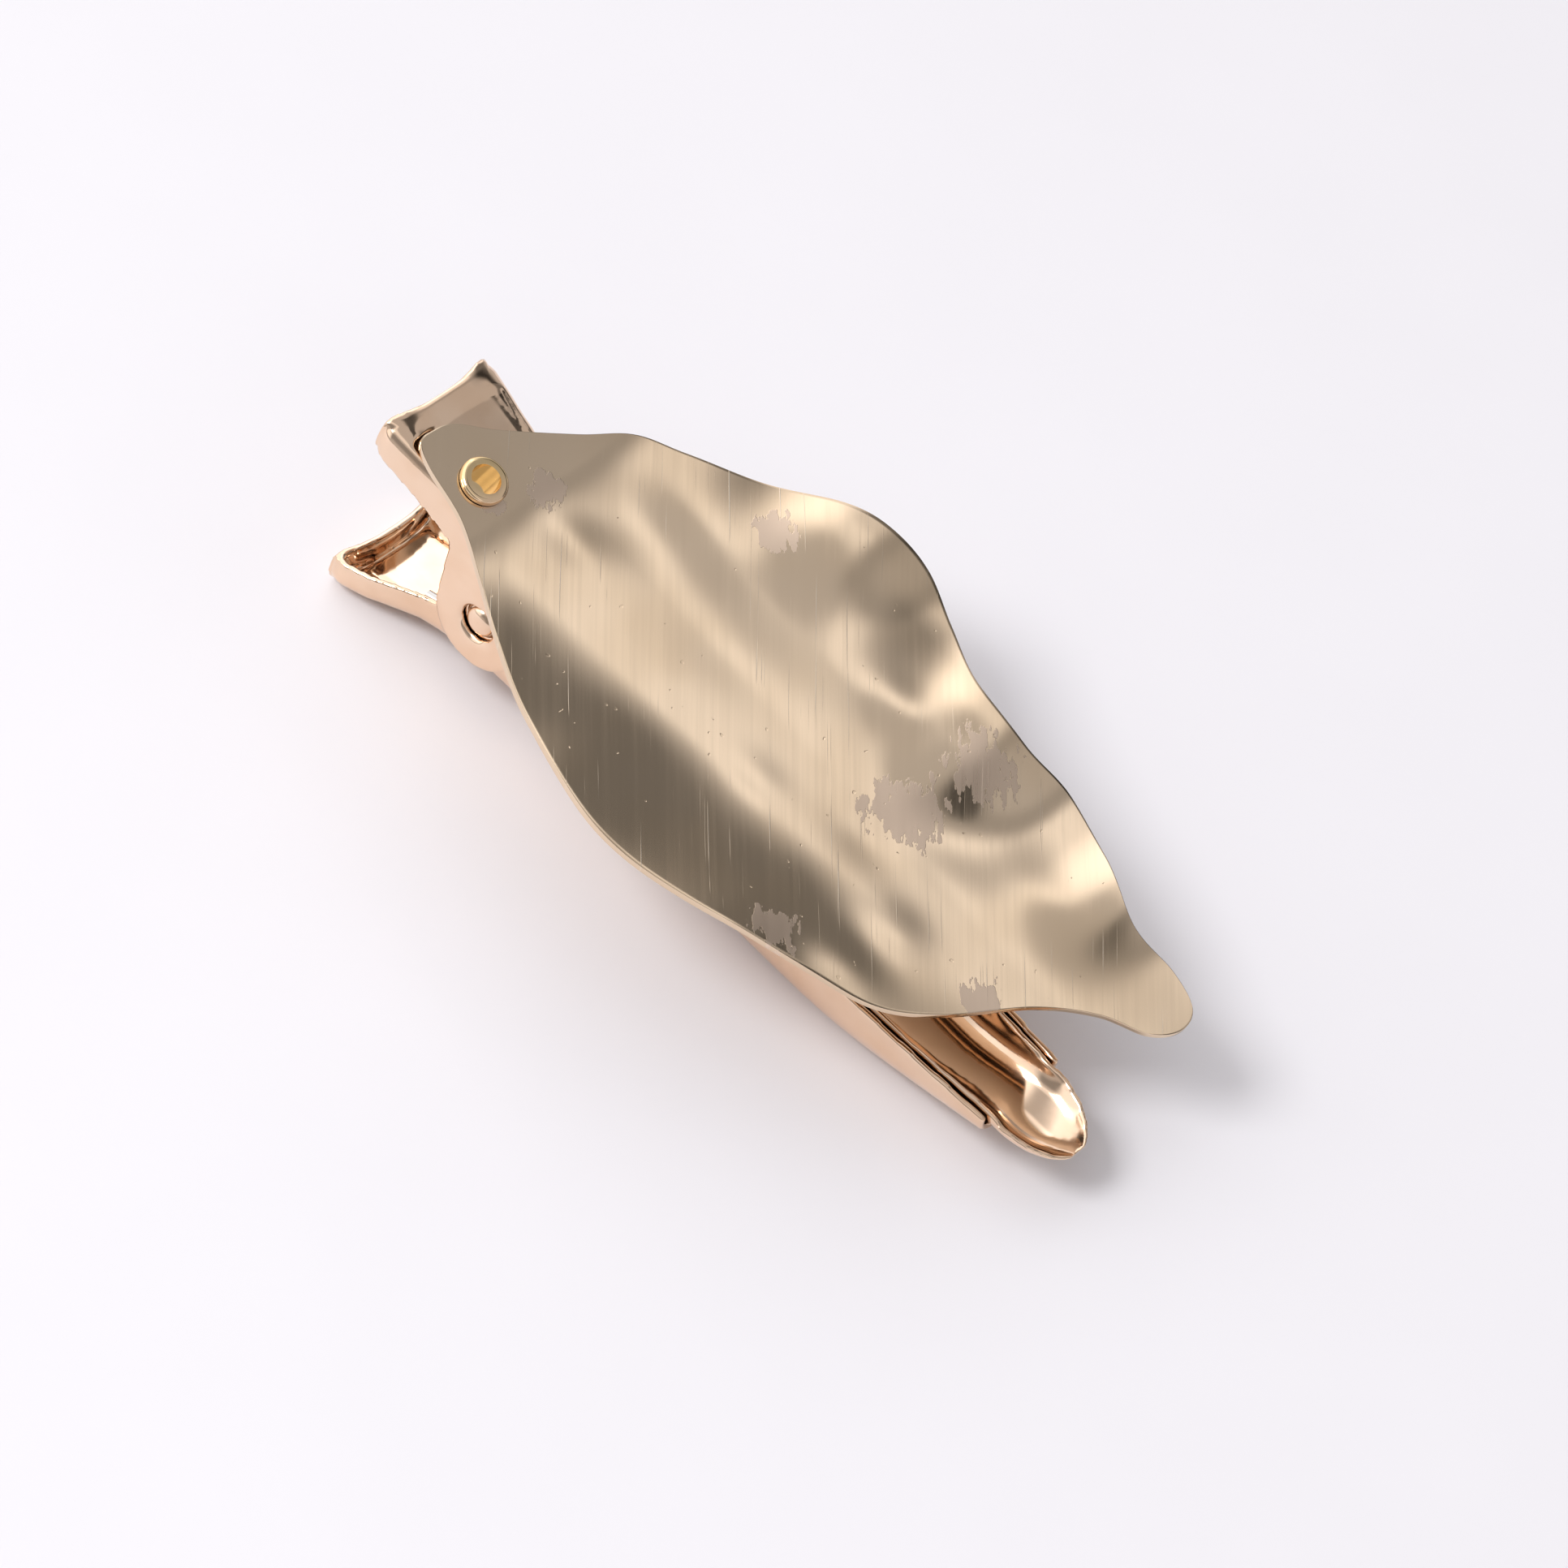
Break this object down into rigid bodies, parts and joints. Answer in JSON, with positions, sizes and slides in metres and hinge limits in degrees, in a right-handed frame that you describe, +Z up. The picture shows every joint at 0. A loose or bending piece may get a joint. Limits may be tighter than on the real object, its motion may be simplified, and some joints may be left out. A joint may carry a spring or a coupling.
{
  "type": "alligator hair clip",
  "caption": "Sprung alligator hair clip with spoon-shaped jaws, pinch tabs and a wide beaten leaf plate riveted on top.",
  "frame": {"origin": "middle of the clip's base, on the surface that it stands on when closed", "axes": "+X from the thumb tabs to the jaw tip, +Y to the clip's left, +Z up, away from the lower lever"},
  "size_m": [0.0662, 0.0356, 0.0179],
  "materials": {
    "lever_plating": "polished rose-gold plating on pressed steel",
    "pin_plating": "polished rose-gold plating on a steel pin",
    "spring_wire": "bright drawn spring wire",
    "rivet_brass": "bright yellow-gold tubular rivet with a rolled rim",
    "leaf_plating": "mirror-polished champagne gold with fine drawn streaks"
  },
  "bodies": {
    "lower": {"lower_lever": "lever_plating", "hinge_pin": "pin_plating", "torsion_spring": "spring_wire"},
    "upper": {"upper_lever": "lever_plating", "plate_rivet": "rivet_brass", "leaf_plate": "leaf_plating"}
  },
  "joints": [
    {"name": "jaw_hinge", "type": "hinge", "parent": "lower", "child": "upper", "pos_m": [-0.02085, -0.0031, 0.007], "axis": [0, -1, 0], "range_deg": [0, 30], "stiffness_Nm_per_rad": 0.05, "springref_deg": -68.75, "deforming": ["torsion_spring"]}
  ]
}
